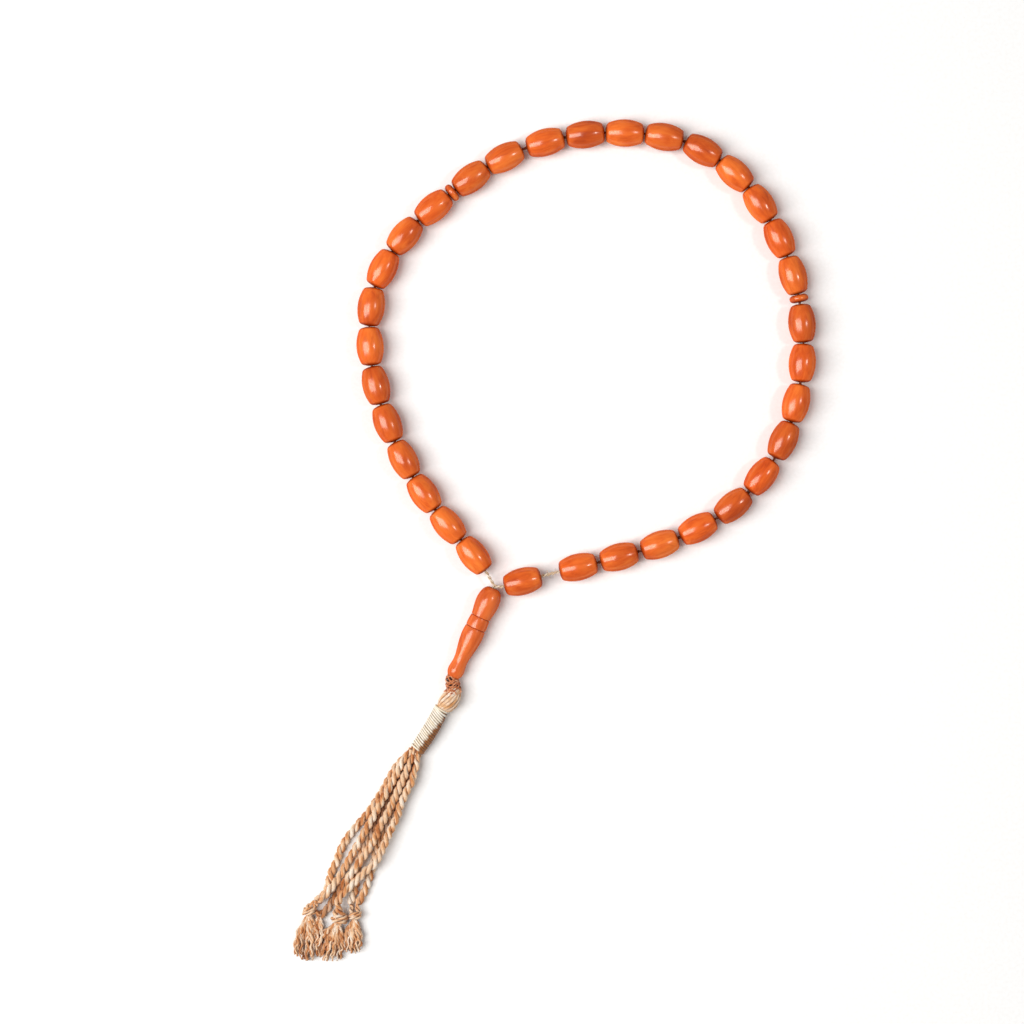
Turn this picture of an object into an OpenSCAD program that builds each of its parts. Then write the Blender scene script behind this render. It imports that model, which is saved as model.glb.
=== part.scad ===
// Misbaha: thirty-three barrel beads and two divider discs on one string, closed by a long
// leader bead that carries a tassel of folded cords.  It lies flat, with the floor at z = 0.
// Millimetres.  Origin: middle of the footprint of everything but the loose tassel strands.

/* [Beads] */
// Length of one barrel bead
bead_length = 12.8; // [12:0.1:12.9]
// Largest diameter of a barrel bead
bead_diameter = 9; // [8:0.1:9.4]
// Diameter of a barrel bead where its side meets its end
bead_end_diameter = 5.6; // [5.2:0.1:7]
// Radius of the shallow dome at each end of a barrel bead
bead_dome_radius = 9; // [8:0.5:30]
// Radius that rounds the corner between a bead's side and its end
bead_corner = 1.5; // [0.5:0.1:1.6]
// Diameter of the bore through a bead or a disc
bead_bore = 2.2; // [2:0.1:2.6]
// Smallest gap that is left between neighbours on the string
bead_gap = 0.2; // [0.1:0.05:0.25]

/* [Divider discs] */
// Thickness of a divider disc
disc_thickness = 2.4; // [1.8:0.1:2.6]
// Diameter of a divider disc
disc_diameter = 6.2; // [5:0.1:7]

/* [String] */
// Diameter of the string
string_diameter = 1.1; // [0.8:0.1:1.2]
// Bare string from the start of the loop's route to the first bead
first_leg = 4.1; // [3.8:0.1:4.6]
// Bare string from the last bead to the end of the loop's route
last_leg = 1.4; // [1.2:0.1:2]
// Diameter of the place where both ends of the loop join
join_diameter = 1.9; // [1.6:0.1:2]

/* [Leader bead] */
// Length of the leader bead
leader_length = 32; // [31:0.5:33]
// Diameter of the bore through the leader bead
leader_bore = 2; // [1.8:0.1:2.2]
// Diameter of the doubled string inside the leader bead
leader_string_diameter = 1.5; // [1.2:0.1:1.6]

/* [Tassel] */
// Diameter of the thread neck below the leader bead
neck_diameter = 4; // [3:0.1:4.4]
// Largest diameter of the head, where the cords fold over
head_diameter = 7; // [6:0.1:7]
// Diameter of the bundle of cords inside the whipping
core_diameter = 4; // [3.6:0.1:4.4]
// Outer diameter of the thread whipping
whipping_diameter = 5.2; // [4.8:0.1:5.4]
// Diameter of one tassel strand where it lies free
strand_diameter = 2.5; // [2:0.1:2.6]

/* [Colours] */
// Colour of the barrel beads and the discs
bead_colour = "#e8642c";
// Colour of the leader bead
leader_colour = "#e05a26";
// Colour of the string and the whipping
thread_colour = "#efe3c6";
// Colour of the neck's interlaced thread
neck_colour = "#a8502c";
// Colour of the tassel's cords
strand_colour = "#eab98a";

/* [Hidden] */
$fn = 64;
BEADS = 33;
GROUP = 11;
SAMPLES = 12;
TUBE_SIDES = 8;

axis_z = bead_diameter / 2;
join_at = [-30, -49, 4.3];

// Where the string of the loop runs, from the join round to the join again.
LOOP_ROUTE = [
    [-31, -47.5, 4.4], [-33.5, -43.5, 4.5], [-37, -38.5, 4.5], [-49.5, -24, 4.5],
    [-60, -7.5, 4.5], [-67.5, 11, 4.5], [-71, 29.5, 4.5], [-69.5, 48.5, 4.5],
    [-60, 65.5, 4.5], [-44.5, 79.5, 4.5], [-27, 91.5, 4.5], [-7, 98, 4.5],
    [12.5, 99.5, 4.5], [32.5, 96.5, 4.5], [49, 86, 4.5], [60.5, 70.5, 4.5],
    [68, 52, 4.5], [71, 32, 4.5], [69, 12, 4.5], [62, -6.5, 4.5],
    [48.5, -22.5, 4.5], [30.5, -33, 4.5], [10.5, -39.5, 4.5], [-10, -44.5, 4.5],
    [-21, -47.5, 4.5], [-27, -49, 4.5], [-28.5, -49.2, 4.4]
];

// Gaps that are wider than bead_gap: after which bead, and by how much.
LOOSE_GAPS = [
    [8, 0.1], [10, 0.3], [13, 1.2], [14, 0.4], [17, 0.5], [22, 0.4], [24, 0.3],
    [26, 0.8], [27, 0.5], [28, 0.8], [29, 0.6], [30, 0.9], [31, 0.8]
];

// The leader bead's way down from the join, and how far its axis dips.
leader_heading = 245.2;
leader_pitch = -1.8;
// From the join to the leader bead's top face.
join_to_leader = 0.8;

// The leader bead's outline as [distance from its top, radius]: lobe, ring and shaft,
// with a cut groove on each side of the ring.
LOBE_OUTLINE = [
    [0, 1.7], [0.4, 2.4], [1.4, 3.2], [3.2, 3.8], [5.4, 3.95], [7.6, 3.7], [9.4, 3.4], [10.3, 3.25]
];
RING_OUTLINE = [[10.6, 3.25], [11.2, 3.35], [12.4, 3.45], [13.6, 3.45], [14.2, 3.4]];
SHAFT_OUTLINE = [
    [14.5, 3.4], [15.6, 3.55], [17.6, 3.6], [20, 3.35], [22.6, 2.9], [24.8, 2.5], [26.6, 2.4],
    [28.2, 2.6], [29.6, 2.75], [30.8, 2.55], [31.7, 2.1], [32, 1.7]
];
groove_depth = 0.3;

// The tassel's own stations, from the neck's pivot to the end of the whipping.
neck_at = [-43.9, -81, 3.2];
head_at = [-43.3, -83.4, 3.5];
whip_at = [-47.2, -88.8, 3.6];
whip_end = [-56, -103.2, 2.65];

// The head's outline as [distance from its top, radius], for a head_diameter of 7.
HEAD_OUTLINE = [
    [-1, 1.8], [0, 2.3], [1, 3], [2.2, 3.4], [3.4, 3.5], [4.6, 3.3], [5.6, 2.9], [6.4, 2.4], [7.4, 1.8]
];

// Where each strand lies after it leaves the whipping, down to its knot.
STRAND_ROUTES = [
    [[-60.5, -106, 1.3], [-62.5, -108.5, 1.3], [-64.5, -112, 1.3], [-67, -116.5, 1.3], [-69.5, -120.5, 1.3],
        [-72, -124, 1.3], [-75, -127.5, 1.3], [-77.5, -130.5, 1.3], [-79.5, -133.5, 1.3], [-81, -136.5, 1.3],
        [-82, -139.5, 1.3], [-83.5, -142.5, 1.3], [-84.5, -146, 1.3],
        [-85.5, -149.5, 1.3], [-88, -152.5, 1.6]],
    [[-60, -106, 3.6], [-61.5, -109, 3.6], [-63, -112, 3.6], [-65.5, -116.5, 3.5], [-68, -121, 3.5],
        [-69.5, -124, 3.4], [-71.5, -127.5, 3.2], [-74, -132, 3], [-76.5, -136.5, 2.8], [-78.5, -140, 2],
        [-80.5, -143.5, 2.2], [-82.5, -146.5, 3], [-84.5, -149, 3.9], [-86.5, -151, 3.9], [-88.5, -152, 3.6]],
    [[-58, -107, 3.6], [-59, -109.5, 3.6], [-60, -112, 3.6], [-62, -116.5, 3.5], [-64, -121, 3.5],
        [-65.5, -124, 3.5], [-67.5, -127.5, 3.5], [-69.5, -132, 3.5], [-72, -136, 3.6], [-74, -139, 3.9],
        [-76.5, -142.5, 3.8], [-79, -146, 2.6], [-81, -149, 1.5], [-83, -152, 1.3], [-85, -155, 1.3],
        [-87.5, -157.5, 1.5]],
    [[-55.5, -107.5, 3.6], [-56.5, -110, 3.7], [-57, -112.5, 3.7], [-59, -116.5, 3.6], [-61, -121, 3.5],
        [-62, -124.5, 3.5], [-63.5, -127.5, 3.5], [-65.5, -132, 3.6], [-67.5, -136.5, 3.9], [-69.5, -140, 4],
        [-72.5, -142.5, 4], [-75, -145, 4], [-78, -148, 4], [-80.5, -150.5, 4], [-81.5, -153, 3.8]],
    [[-56, -107.5, 1.3], [-57.5, -110.5, 1.3], [-59, -113.5, 1.3], [-61, -117.5, 1.3], [-63, -121.5, 1.3],
        [-64, -124.5, 1.3], [-65.5, -128, 1.3], [-67.5, -132, 1.3], [-69, -136, 1.3], [-70, -140, 1.3],
        [-71, -144, 1.3], [-72.5, -148.5, 1.3], [-74, -151.5, 1.3], [-75, -153.5, 1.6]],
    [[-58.5, -107.5, 1.3], [-60.5, -110.5, 1.3], [-62, -113.5, 1.3], [-64, -117.5, 1.3], [-66, -121.5, 1.3],
        [-67.5, -124.5, 1.3], [-69.5, -128, 1.3], [-71.5, -132, 1.3], [-73.5, -136, 1.3], [-75, -140, 1.3],
        [-75.5, -144, 1.3], [-76, -148.5, 1.3], [-77, -151.5, 1.3], [-77.5, -153.5, 1.6]]
];
// Each strand's place in the bundle at the end of the whipping, as [sideways, up] from its middle.
STRAND_STARTS = [[-1.6, -0.9], [-1.6, 0.9], [0, 0.9], [1.6, 0.9], [1.6, -0.9], [0, -0.9]];
strand_start_radius = 0.75;
// Gap between the end of the whipping and the first face of a strand.
strand_start_gap = 0.2;
// How far a strand runs straight on from the whipping before it bends.
strand_lead = 1.5;
// Length over which a strand grows to its full radius, and shrinks again at its knot.
strand_taper = 7;

// Each knot's middle and radius, and how its brush of loose ends lies: heading, length, spread.
KNOTS = [[-91, -155.5, 2.3, 2.2], [-81, -158, 2.6, 2.5], [-76, -157, 2.2, 2]];
BRUSHES = [[267, 16, 3.6], [256, 13.5, 3.2], [264, 12.5, 2.6]];
// Height of the middle of a brush's tip above the floor.
brush_lift = 1.3;
// Gap between a knot and the throat of its brush.
brush_gap = 0.15;
// A brush's outline from its throat to its tip, as [share of the length, half of the height].
BRUSH_OUTLINE = [[0, 0.6], [0.25, 1], [0.55, 1.2], [0.85, 1.2], [1, 1]];

function numbered(stem, n, width = 1) =
    [for (i = [1:n]) str(stem, i < 10 && width > 1 ? "0" : "", i)];
BEAD_NAMES = numbered("bead_", BEADS, 2);
DISC_NAMES = numbered("divider_disc_", 2);
STRAND_NAMES = numbered("strand_", len(STRAND_ROUTES));
KNOT_NAMES = numbered("strand_knot_", len(KNOTS));
BRUSH_NAMES = numbered("frayed_end_", len(KNOTS));

// ---- curves ----

function unit(v) = v / norm(v);

// A point of the smooth curve that passes through p1 at t = 0 and p2 at t = 1.
function curve_point(p0, p1, p2, p3, t) =
    0.5 * (2 * p1 + (p2 - p0) * t + (2 * p0 - 5 * p1 + 4 * p2 - p3) * t * t
        + (3 * p1 - p0 - 3 * p2 + p3) * t * t * t);

// The smooth curve through a list of points, as n samples for each stretch.
function smooth(points, n) =
    let (last = len(points) - 1)
    concat(
        [for (i = [0:last - 1], k = [0:n - 1])
            curve_point(points[max(i - 1, 0)], points[i], points[i + 1], points[min(i + 2, last)], k / n)],
        [points[last]]);

// Distance along a polyline to each of its points.
function distances(line, i = 1, total = [0]) =
    i == len(line) ? total
    : distances(line, i + 1, concat(total, [total[i - 1] + norm(line[i] - line[i - 1])]));

// A table from distance to place, for along().
function tabled(points, n = SAMPLES) =
    let (line = smooth(points, n), s = distances(line))
    [for (c = [0:2]) [for (i = [0:len(line) - 1]) [s[i], line[i][c]]]];

function along(table, s) = [for (c = [0:2]) lookup(s, table[c])];
function table_length(table) = table[0][len(table[0]) - 1][0];

// ---- where the beads sit ----

loop_table = tabled(LOOP_ROUTE);
loop_length = table_length(loop_table);

function sum(v, i = 0) = i == len(v) ? 0 : v[i] + sum(v, i + 1);
function extra_after(i) = sum([for (g = LOOSE_GAPS) if (g[0] <= i) g[1]]);
function discs_before(i) = i > 2 * GROUP ? 2 : i > GROUP ? 1 : 0;

// Distance along the string to the middle of bead i.
function bead_s(i) =
    i == BEADS ? loop_length - last_leg - bead_length / 2
    : first_leg + bead_length / 2 + (i - 1) * (bead_length + bead_gap) + extra_after(i - 1)
        + discs_before(i) * (disc_thickness + bead_gap);

// Distance along the string to the middle of disc k, which follows bead k * GROUP.
function disc_s(k) = bead_s(k * GROUP) + bead_length / 2 + bead_gap + disc_thickness / 2;

// The string bows inside a straight bore, so a piece sits halfway between curve and chord.
function seat(s, length) =
    let (a = along(loop_table, s - length / 2), b = along(loop_table, s + length / 2),
        m = along(loop_table, s), mid = ((a + b) / 2 + m) / 2)
    [[mid[0], mid[1], axis_z], atan2(b[1] - a[1], b[0] - a[0])];

// ---- parts ----

// Puts a child's +Z along a heading in the floor plane, lifted by pitch.
module aim(at, heading, pitch = 0) {
    translate(at) rotate([0, 90 - pitch, heading]) children();
}

// Centre of the circle of radius f that touches two circles from inside.
function corner_centre(c1, r1, c2, r2, f) =
    let (a = r1 - f, b = r2 - f, d = norm(c2 - c1), e = (c2 - c1) / d,
        x = (a * a - b * b + d * d) / (2 * d), y = sqrt(a * a - x * x))
    c1 + x * e + y * [-e[1], e[0]];

// Right half of a barrel bead's section: side arc, domed ends, rounded corners.
module barrel_section() {
    half = bead_length / 2;
    bulge = (bead_diameter - bead_end_diameter) / 2;
    side_radius = (half * half + bulge * bulge) / (2 * bulge);
    side_centre = [bead_diameter / 2 - side_radius, 0];
    dome_centre = [0, half - bead_dome_radius];
    corner = corner_centre(side_centre, side_radius, dome_centre, bead_dome_radius, bead_corner);
    side_touch = side_centre + side_radius * unit(corner - side_centre);
    dome_touch = dome_centre + bead_dome_radius * unit(corner - dome_centre);
    intersection() {
        union() {
            intersection() {
                translate(side_centre) circle(r = side_radius);
                translate([0, -side_touch[1]]) square([bead_diameter, 2 * side_touch[1]]);
            }
            for (m = [0, 1]) mirror([0, m]) {
                translate(corner) circle(r = bead_corner);
                intersection() {
                    translate(dome_centre) circle(r = bead_dome_radius);
                    square([dome_touch[0], half]);
                }
            }
        }
        translate([0, -half]) square([bead_diameter, bead_length]);
    }
}

module barrel_bead(i) {
    place = seat(bead_s(i), bead_length);
    color(bead_colour) aim(place[0], place[1]) difference() {
        rotate_extrude() barrel_section();
        cylinder(d = bead_bore, h = 2 * bead_length, center = true);
    }
}

module divider_disc(k) {
    place = seat(disc_s(k), disc_thickness);
    rim = disc_thickness / 2;
    color(bead_colour) aim(place[0], place[1]) difference() {
        rotate_extrude() {
            translate([0, -rim]) square([disc_diameter / 2 - rim, disc_thickness]);
            translate([disc_diameter / 2 - rim, 0]) circle(r = rim);
        }
        cylinder(d = bead_bore, h = 2 * disc_thickness, center = true);
    }
}

// A tube through points, with a radius for each point, and how many times wider than high it is there.
module tube(points, radii, widths = []) {
    n = len(points);
    function way(i) = unit(points[min(i + 1, n - 1)] - points[max(i - 1, 0)]);
    function wide(i) = len(widths) == n ? widths[i] : 1;
    function ring(i) =
        let (side = unit(cross(way(i), [0, 0, 1])), up = cross(side, way(i)))
        [for (k = [0:TUBE_SIDES - 1]) let (a = 360 * k / TUBE_SIDES)
            points[i] + radii[i] * (cos(a) * wide(i) * side + sin(a) * up)];
    polyhedron(
        points = [for (i = [0:n - 1]) each ring(i)],
        faces = concat(
            [[for (k = [TUBE_SIDES - 1:-1:0]) k]],
            [for (i = [0:n - 2], k = [0:TUBE_SIDES - 1])
                let (a = i * TUBE_SIDES, b = a + TUBE_SIDES, next = (k + 1) % TUBE_SIDES)
                [a + k, a + next, b + next, b + k]],
            [[for (k = [0:TUBE_SIDES - 1]) (n - 1) * TUBE_SIDES + k]]));
}

module string_loop() {
    // Two rings to a bead keep the string's bend smooth.
    rings = ceil(2 * loop_length / bead_length);
    points = [for (i = [0:rings]) along(loop_table, i / rings * loop_length)];
    color(thread_colour) tube(points, [for (p = points) string_diameter / 2]);
}

module string_join() {
    color(thread_colour) translate(join_at) sphere(d = join_diameter);
}

// Direction of an aimed child's +Z.
function direction(heading, pitch) =
    [cos(heading) * cos(pitch), sin(heading) * cos(pitch), sin(pitch)];

leader_way = direction(leader_heading, leader_pitch);
leader_top = join_at + join_to_leader * leader_way;
outline_end = SHAFT_OUTLINE[len(SHAFT_OUTLINE) - 1][0];

// Half section of a turned shape, from its outline as [distance, radius].
module turned(outline, n = 4) {
    line = smooth(outline, n);
    rotate_extrude() polygon(concat(
        [[0, line[0][0]]],
        [for (p = line) [p[1], p[0]]],
        [[0, line[len(line) - 1][0]]]));
}

module leader_bead() {
    lobe_end = LOBE_OUTLINE[len(LOBE_OUTLINE) - 1];
    ring_end = RING_OUTLINE[len(RING_OUTLINE) - 1];
    stretch = leader_length / outline_end;
    color(leader_colour) aim(leader_top, leader_heading, leader_pitch) difference() {
        scale(stretch) union() {
            turned(LOBE_OUTLINE);
            turned(RING_OUTLINE);
            turned(SHAFT_OUTLINE);
            translate([0, 0, lobe_end[0] - 0.5])
                cylinder(r = lobe_end[1] - groove_depth, h = ring_end[0] - lobe_end[0] + 1.5);
        }
        translate([0, 0, -1]) cylinder(d = leader_bore, h = leader_length + 2);
        // The mouth is opened out so that the join can turn in it.
        translate([0, 0, -0.01]) cylinder(r1 = 1.5, r2 = leader_bore / 2, h = 0.8);
    }
}

module leader_string() {
    color(thread_colour) aim(leader_top, leader_heading, leader_pitch)
        translate([0, 0, 0.5]) cylinder(d = leader_string_diameter, h = leader_length - 0.5);
}

function heading_of(a, b) = atan2(b[1] - a[1], b[0] - a[0]);
function pitch_of(a, b) = asin((b[2] - a[2]) / norm(b - a));

// Puts a child's +Z on the way from a to b, with its zero at a.
module span(a, b) {
    aim(a, heading_of(a, b), pitch_of(a, b)) children();
}

module tassel_neck() {
    color(neck_colour) union() {
        translate(neck_at) sphere(d = neck_diameter);
        span(neck_at, head_at) cylinder(d = neck_diameter, h = norm(head_at - neck_at));
    }
}

module tassel_head() {
    swell = head_diameter / 7;
    color(strand_colour) union() {
        difference() {
            span(head_at, whip_at) turned([for (p = HEAD_OUTLINE) [p[0], p[1] * swell]]);
            span(head_at, neck_at) cylinder(d = 2 * head_diameter, h = head_diameter);
            span(whip_at, whip_end) cylinder(d = 2 * head_diameter, h = head_diameter);
        }
        span(whip_at, whip_end) translate([0, 0, -1])
            cylinder(d = core_diameter, h = norm(whip_end - whip_at) + 1);
    }
}

module tassel_whipping() {
    length = norm(whip_end - whip_at);
    color(thread_colour) span(whip_at, whip_end) difference() {
        cylinder(d = whipping_diameter, h = length);
        translate([0, 0, -1]) cylinder(d = core_diameter, h = length + 2);
    }
}

// ---- strands ----

whip_way = unit(whip_end - whip_at);
whip_side = unit(cross(whip_way, [0, 0, 1]));
whip_up = cross(whip_side, whip_way);

function strand_route(i) =
    let (place = STRAND_STARTS[i], start = whip_end + strand_start_gap * whip_way
        - place[0] * whip_side + place[1] * whip_up)
    concat([start, start + strand_lead * whip_way], STRAND_ROUTES[i]);

module strand(i) {
    table = tabled(strand_route(i), 4);
    length = table_length(table);
    full = strand_diameter / 2;
    rings = 12;
    stations = [for (k = [0:rings]) k / rings * length];
    function radius(s) = strand_start_radius
        + (full - strand_start_radius) * min(1, s / strand_taper, (length - s) / strand_taper);
    color(strand_colour) tube(
        [for (s = stations) along(table, s)],
        [for (s = stations) radius(s)]);
}

module strand_knot(i) {
    color(strand_colour) translate([for (c = [0:2]) KNOTS[i][c]]) sphere(r = KNOTS[i][3]);
}

// A flattened brush: a narrow throat below the knot that opens to a wide end on the floor.
module frayed_end(i) {
    knot = KNOTS[i];
    brush = BRUSHES[i];
    way = [cos(brush[0]), sin(brush[0]), 0];
    throat = [knot[0], knot[1], knot[2]] + (knot[3] + brush_gap) * way;
    tip = [knot[0], knot[1], brush_lift] + brush[1] * way;
    color(strand_colour) tube(
        [for (p = BRUSH_OUTLINE) throat + p[0] * (tip - throat)],
        [for (p = BRUSH_OUTLINE) p[1]],
        [for (p = BRUSH_OUTLINE) 1 + p[0] * (brush[2] / p[1] - 1)]);
}

for (i = [1:BEADS]) barrel_bead(i);
for (k = [1:2]) divider_disc(k);
for (i = [0:len(STRAND_ROUTES) - 1]) strand(i);
for (i = [0:len(KNOTS) - 1]) strand_knot(i);
for (i = [0:len(KNOTS) - 1]) frayed_end(i);
string_loop();
string_join();
leader_bead();
leader_string();
tassel_neck();
tassel_head();
tassel_whipping();
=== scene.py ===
"""The looks of a misbaha: turned resin beads, a twisted string and a tassel of plied cords."""

import math
import random

import bpy
import numpy as np
from mathutils import Matrix, Vector


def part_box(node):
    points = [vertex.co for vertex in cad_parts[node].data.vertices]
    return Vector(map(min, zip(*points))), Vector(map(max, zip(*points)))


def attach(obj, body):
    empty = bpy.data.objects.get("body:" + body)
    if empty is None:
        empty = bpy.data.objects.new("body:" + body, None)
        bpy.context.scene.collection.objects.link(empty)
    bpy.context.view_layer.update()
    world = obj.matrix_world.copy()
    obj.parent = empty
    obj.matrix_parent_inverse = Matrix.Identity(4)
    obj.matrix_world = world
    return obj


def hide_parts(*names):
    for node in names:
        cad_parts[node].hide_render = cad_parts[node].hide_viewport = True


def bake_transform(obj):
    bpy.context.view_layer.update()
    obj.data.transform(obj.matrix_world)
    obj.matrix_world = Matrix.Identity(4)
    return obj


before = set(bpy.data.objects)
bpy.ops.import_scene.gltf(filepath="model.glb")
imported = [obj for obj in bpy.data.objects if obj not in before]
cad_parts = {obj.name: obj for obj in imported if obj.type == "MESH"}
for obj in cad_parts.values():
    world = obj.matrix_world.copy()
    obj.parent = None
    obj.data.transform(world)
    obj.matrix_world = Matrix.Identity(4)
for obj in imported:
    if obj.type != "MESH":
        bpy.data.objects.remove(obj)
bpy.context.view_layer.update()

MM = 0.001
UP = np.array([0.0, 0.0, 1.0])
FULL_TURN = 2 * math.pi
# The limits of a random draw of any angle, in radians.
ANY_ANGLE = (0, 6.28)
random.seed(33)

# ---- the routes that the cords follow, and the stations of the tassel, in metres ----

STRING_ROUTE = [
    [-0.031, -0.0475, 0.0044], [-0.0335, -0.0435, 0.0045], [-0.037, -0.0385, 0.0045],
    [-0.0495, -0.024, 0.0045], [-0.06, -0.0075, 0.0045], [-0.0675, 0.011, 0.0045],
    [-0.071, 0.0295, 0.0045], [-0.0695, 0.0485, 0.0045], [-0.06, 0.0655, 0.0045],
    [-0.0445, 0.0795, 0.0045], [-0.027, 0.0915, 0.0045], [-0.007, 0.098, 0.0045],
    [0.0125, 0.0995, 0.0045], [0.0325, 0.0965, 0.0045], [0.049, 0.086, 0.0045],
    [0.0605, 0.0705, 0.0045], [0.068, 0.052, 0.0045], [0.071, 0.032, 0.0045],
    [0.069, 0.012, 0.0045], [0.062, -0.0065, 0.0045], [0.0485, -0.0225, 0.0045],
    [0.0305, -0.033, 0.0045], [0.0105, -0.0395, 0.0045], [-0.01, -0.0445, 0.0045],
    [-0.021, -0.0475, 0.0045], [-0.027, -0.049, 0.0045], [-0.0285, -0.0492, 0.0044],
]
JOIN = [-0.03, -0.049, 0.0043]
STRAND_ROUTES = [
    [[-0.0605, -0.106, 0.0013], [-0.0625, -0.1085, 0.0013], [-0.0645, -0.112, 0.0013],
     [-0.067, -0.1165, 0.0013], [-0.0695, -0.1205, 0.0013], [-0.072, -0.124, 0.0013],
     [-0.075, -0.1275, 0.0013], [-0.0775, -0.1305, 0.0013], [-0.0795, -0.1335, 0.0013],
     [-0.081, -0.1365, 0.0013], [-0.082, -0.1395, 0.0013], [-0.0835, -0.1425, 0.0013],
     [-0.0845, -0.146, 0.0013], [-0.0855, -0.1495, 0.0013], [-0.088, -0.1525, 0.0016]],
    [[-0.06, -0.106, 0.0036], [-0.0615, -0.109, 0.0036], [-0.063, -0.112, 0.0036],
     [-0.0655, -0.1165, 0.0035], [-0.068, -0.121, 0.0035], [-0.0695, -0.124, 0.0034],
     [-0.0715, -0.1275, 0.0032], [-0.074, -0.132, 0.003], [-0.0765, -0.1365, 0.0028],
     [-0.0785, -0.14, 0.002], [-0.0805, -0.1435, 0.0022], [-0.0825, -0.1465, 0.003],
     [-0.0845, -0.149, 0.0039], [-0.0865, -0.151, 0.0039], [-0.0885, -0.152, 0.0036]],
    [[-0.058, -0.107, 0.0036], [-0.059, -0.1095, 0.0036], [-0.06, -0.112, 0.0036],
     [-0.062, -0.1165, 0.0035], [-0.064, -0.121, 0.0035], [-0.0655, -0.124, 0.0035],
     [-0.0675, -0.1275, 0.0035], [-0.0695, -0.132, 0.0035], [-0.072, -0.136, 0.0036],
     [-0.074, -0.139, 0.0039], [-0.0765, -0.1425, 0.0038], [-0.079, -0.146, 0.0026],
     [-0.081, -0.149, 0.0015], [-0.083, -0.152, 0.0013], [-0.085, -0.155, 0.0013],
     [-0.0875, -0.1575, 0.0015]],
    [[-0.0555, -0.1075, 0.0036], [-0.0565, -0.11, 0.0037], [-0.057, -0.1125, 0.0037],
     [-0.059, -0.1165, 0.0036], [-0.061, -0.121, 0.0035], [-0.062, -0.1245, 0.0035],
     [-0.0635, -0.1275, 0.0035], [-0.0655, -0.132, 0.0036], [-0.0675, -0.1365, 0.0039],
     [-0.0695, -0.14, 0.004], [-0.0725, -0.1425, 0.004], [-0.075, -0.145, 0.004],
     [-0.078, -0.148, 0.004], [-0.0805, -0.1505, 0.004], [-0.0815, -0.153, 0.0038]],
    [[-0.056, -0.1075, 0.0013], [-0.0575, -0.1105, 0.0013], [-0.059, -0.1135, 0.0013],
     [-0.061, -0.1175, 0.0013], [-0.063, -0.1215, 0.0013], [-0.064, -0.1245, 0.0013],
     [-0.0655, -0.128, 0.0013], [-0.0675, -0.132, 0.0013], [-0.069, -0.136, 0.0013],
     [-0.07, -0.14, 0.0013], [-0.071, -0.144, 0.0013], [-0.0725, -0.1485, 0.0013],
     [-0.074, -0.1515, 0.0013], [-0.075, -0.1535, 0.0016]],
    [[-0.0585, -0.1075, 0.0013], [-0.0605, -0.1105, 0.0013], [-0.062, -0.1135, 0.0013],
     [-0.064, -0.1175, 0.0013], [-0.066, -0.1215, 0.0013], [-0.0675, -0.1245, 0.0013],
     [-0.0695, -0.128, 0.0013], [-0.0715, -0.132, 0.0013], [-0.0735, -0.136, 0.0013],
     [-0.075, -0.14, 0.0013], [-0.0755, -0.144, 0.0013], [-0.076, -0.1485, 0.0013],
     [-0.077, -0.1515, 0.0013], [-0.0775, -0.1535, 0.0016]],
]
# Each strand's place in the bundle at the end of the whipping: sideways and up, in millimetres.
STRAND_STARTS = [[-1.6, -0.9], [-1.6, 0.9], [0, 0.9], [1.6, 0.9], [1.6, -0.9], [0, -0.9]]
LEADER_HEADING = math.radians(245.2)
LEADER_PITCH = math.radians(-1.8)
JOIN_TO_LEADER = 0.0008
LEADER_LENGTH = 0.032
NECK = [-0.0439, -0.081, 0.0032]
HEAD = [-0.0433, -0.0834, 0.0035]
WHIP_START = [-0.0472, -0.0888, 0.0036]
WHIP_END = [-0.056, -0.1032, 0.00265]
# Which strands each knot gathers, and how its brush of loose ends lies: its heading in degrees, and its
# length and spread in millimetres.
KNOTTED = [(0, 1, 2), (3,), (4, 5)]
BRUSHES = [(267, 17.0, 4.5), (251, 15.0, 5.0), (264, 13.0, 3.4)]


# ---- curves ----

def smooth(points, n):
    """The Catmull-Rom curve through a list of points, as n samples for each stretch."""
    p = np.array(points, float)
    p = np.vstack([p[:1], p, p[-1:]])
    t = np.linspace(0, 1, n, endpoint=False)[:, None]
    parts = []
    for a, b, c, d in zip(p, p[1:], p[2:], p[3:]):
        parts.append(0.5 * (2 * b + (c - a) * t + (2 * a - 5 * b + 4 * c - d) * t ** 2
                            + (3 * b - a - 3 * c + d) * t ** 3))
    return np.vstack(parts + [p[-1:]])


def steps(n):
    """A column of n shares, from 0 to 1."""
    return np.linspace(0, 1, n)[:, None]


def bend(start, middle, end, t):
    """The curve from start to end that leans towards the middle point."""
    return start * (1 - t) ** 2 + 2 * middle * t * (1 - t) + end * t ** 2


def distances(line):
    """Distance along a polyline to each of its points."""
    return np.concatenate([[0], np.cumsum(np.linalg.norm(np.diff(line, axis=0), axis=1))])


def resample(line, step):
    """The same line with its points a step apart."""
    s = distances(line)
    at = np.linspace(0, s[-1], max(2, int(round(s[-1] / step)) + 1))
    return np.column_stack([np.interp(at, s, line[:, c]) for c in range(3)])


def unit(v):
    """The same directions, each of length 1."""
    return v / np.maximum(np.linalg.norm(v, axis=-1, keepdims=True), 1e-12)


def axes_along(line):
    """For each point of a line: its direction, and two axes across it that don't spin."""
    way = unit(np.gradient(line, axis=0))
    first = np.cross(way[0], UP)
    if np.linalg.norm(first) < 0.1:
        first = np.cross(way[0], [1.0, 0, 0])
    side = [unit(first)]
    for w in way[1:]:
        side.append(unit(side[-1] - np.dot(side[-1], w) * w))
    side = np.array(side)
    return way, side, np.cross(side, way)


def floor_axes(heading):
    """A heading on the floor, in degrees, as a direction and the one across it."""
    turned = math.radians(heading)
    way = np.array([math.cos(turned), math.sin(turned), 0])
    return way, np.cross(way, UP)


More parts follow.
